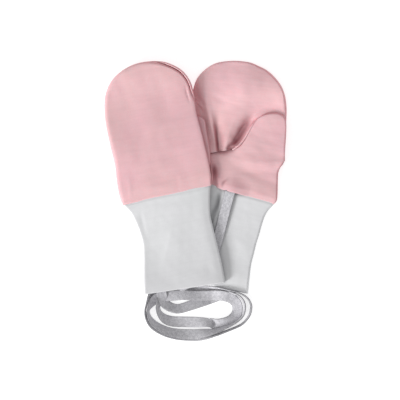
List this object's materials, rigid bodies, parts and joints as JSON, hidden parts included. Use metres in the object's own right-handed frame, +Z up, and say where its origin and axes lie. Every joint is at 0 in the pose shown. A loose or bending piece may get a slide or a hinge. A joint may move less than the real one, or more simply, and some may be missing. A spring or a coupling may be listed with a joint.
{
  "type": "pair of baby mittens with tape",
  "caption": "Pair of soft jersey mitts with thumbs and long plain cuffs, joined by one flat tape, laid flat one over the other.",
  "frame": {"origin": "centre of the box around the two mittens without the tape, on the surface they lie on", "axes": "+Z up from the surface, +Y from the cuffs to the fingertips, +X towards the mitten that lies palm up"},
  "size_m": [0.1416, 0.2182, 0.0104],
  "materials": {
    "hand_jersey": "dusty pink plain jersey, matt with a soft nap",
    "cuff_jersey": "pale grey heather jersey, double, matt",
    "melange_tape": "grey melange jersey tape, matt"
  },
  "bodies": {
    "root": {"left_back": "hand_jersey", "left_palm_upper": "hand_jersey", "left_palm_lower": "hand_jersey", "left_cuff": "cuff_jersey", "right_back": "hand_jersey", "right_palm_upper": "hand_jersey", "right_palm_lower": "hand_jersey", "right_cuff": "cuff_jersey", "tape": "melange_tape"}
  },
  "joints": []
}
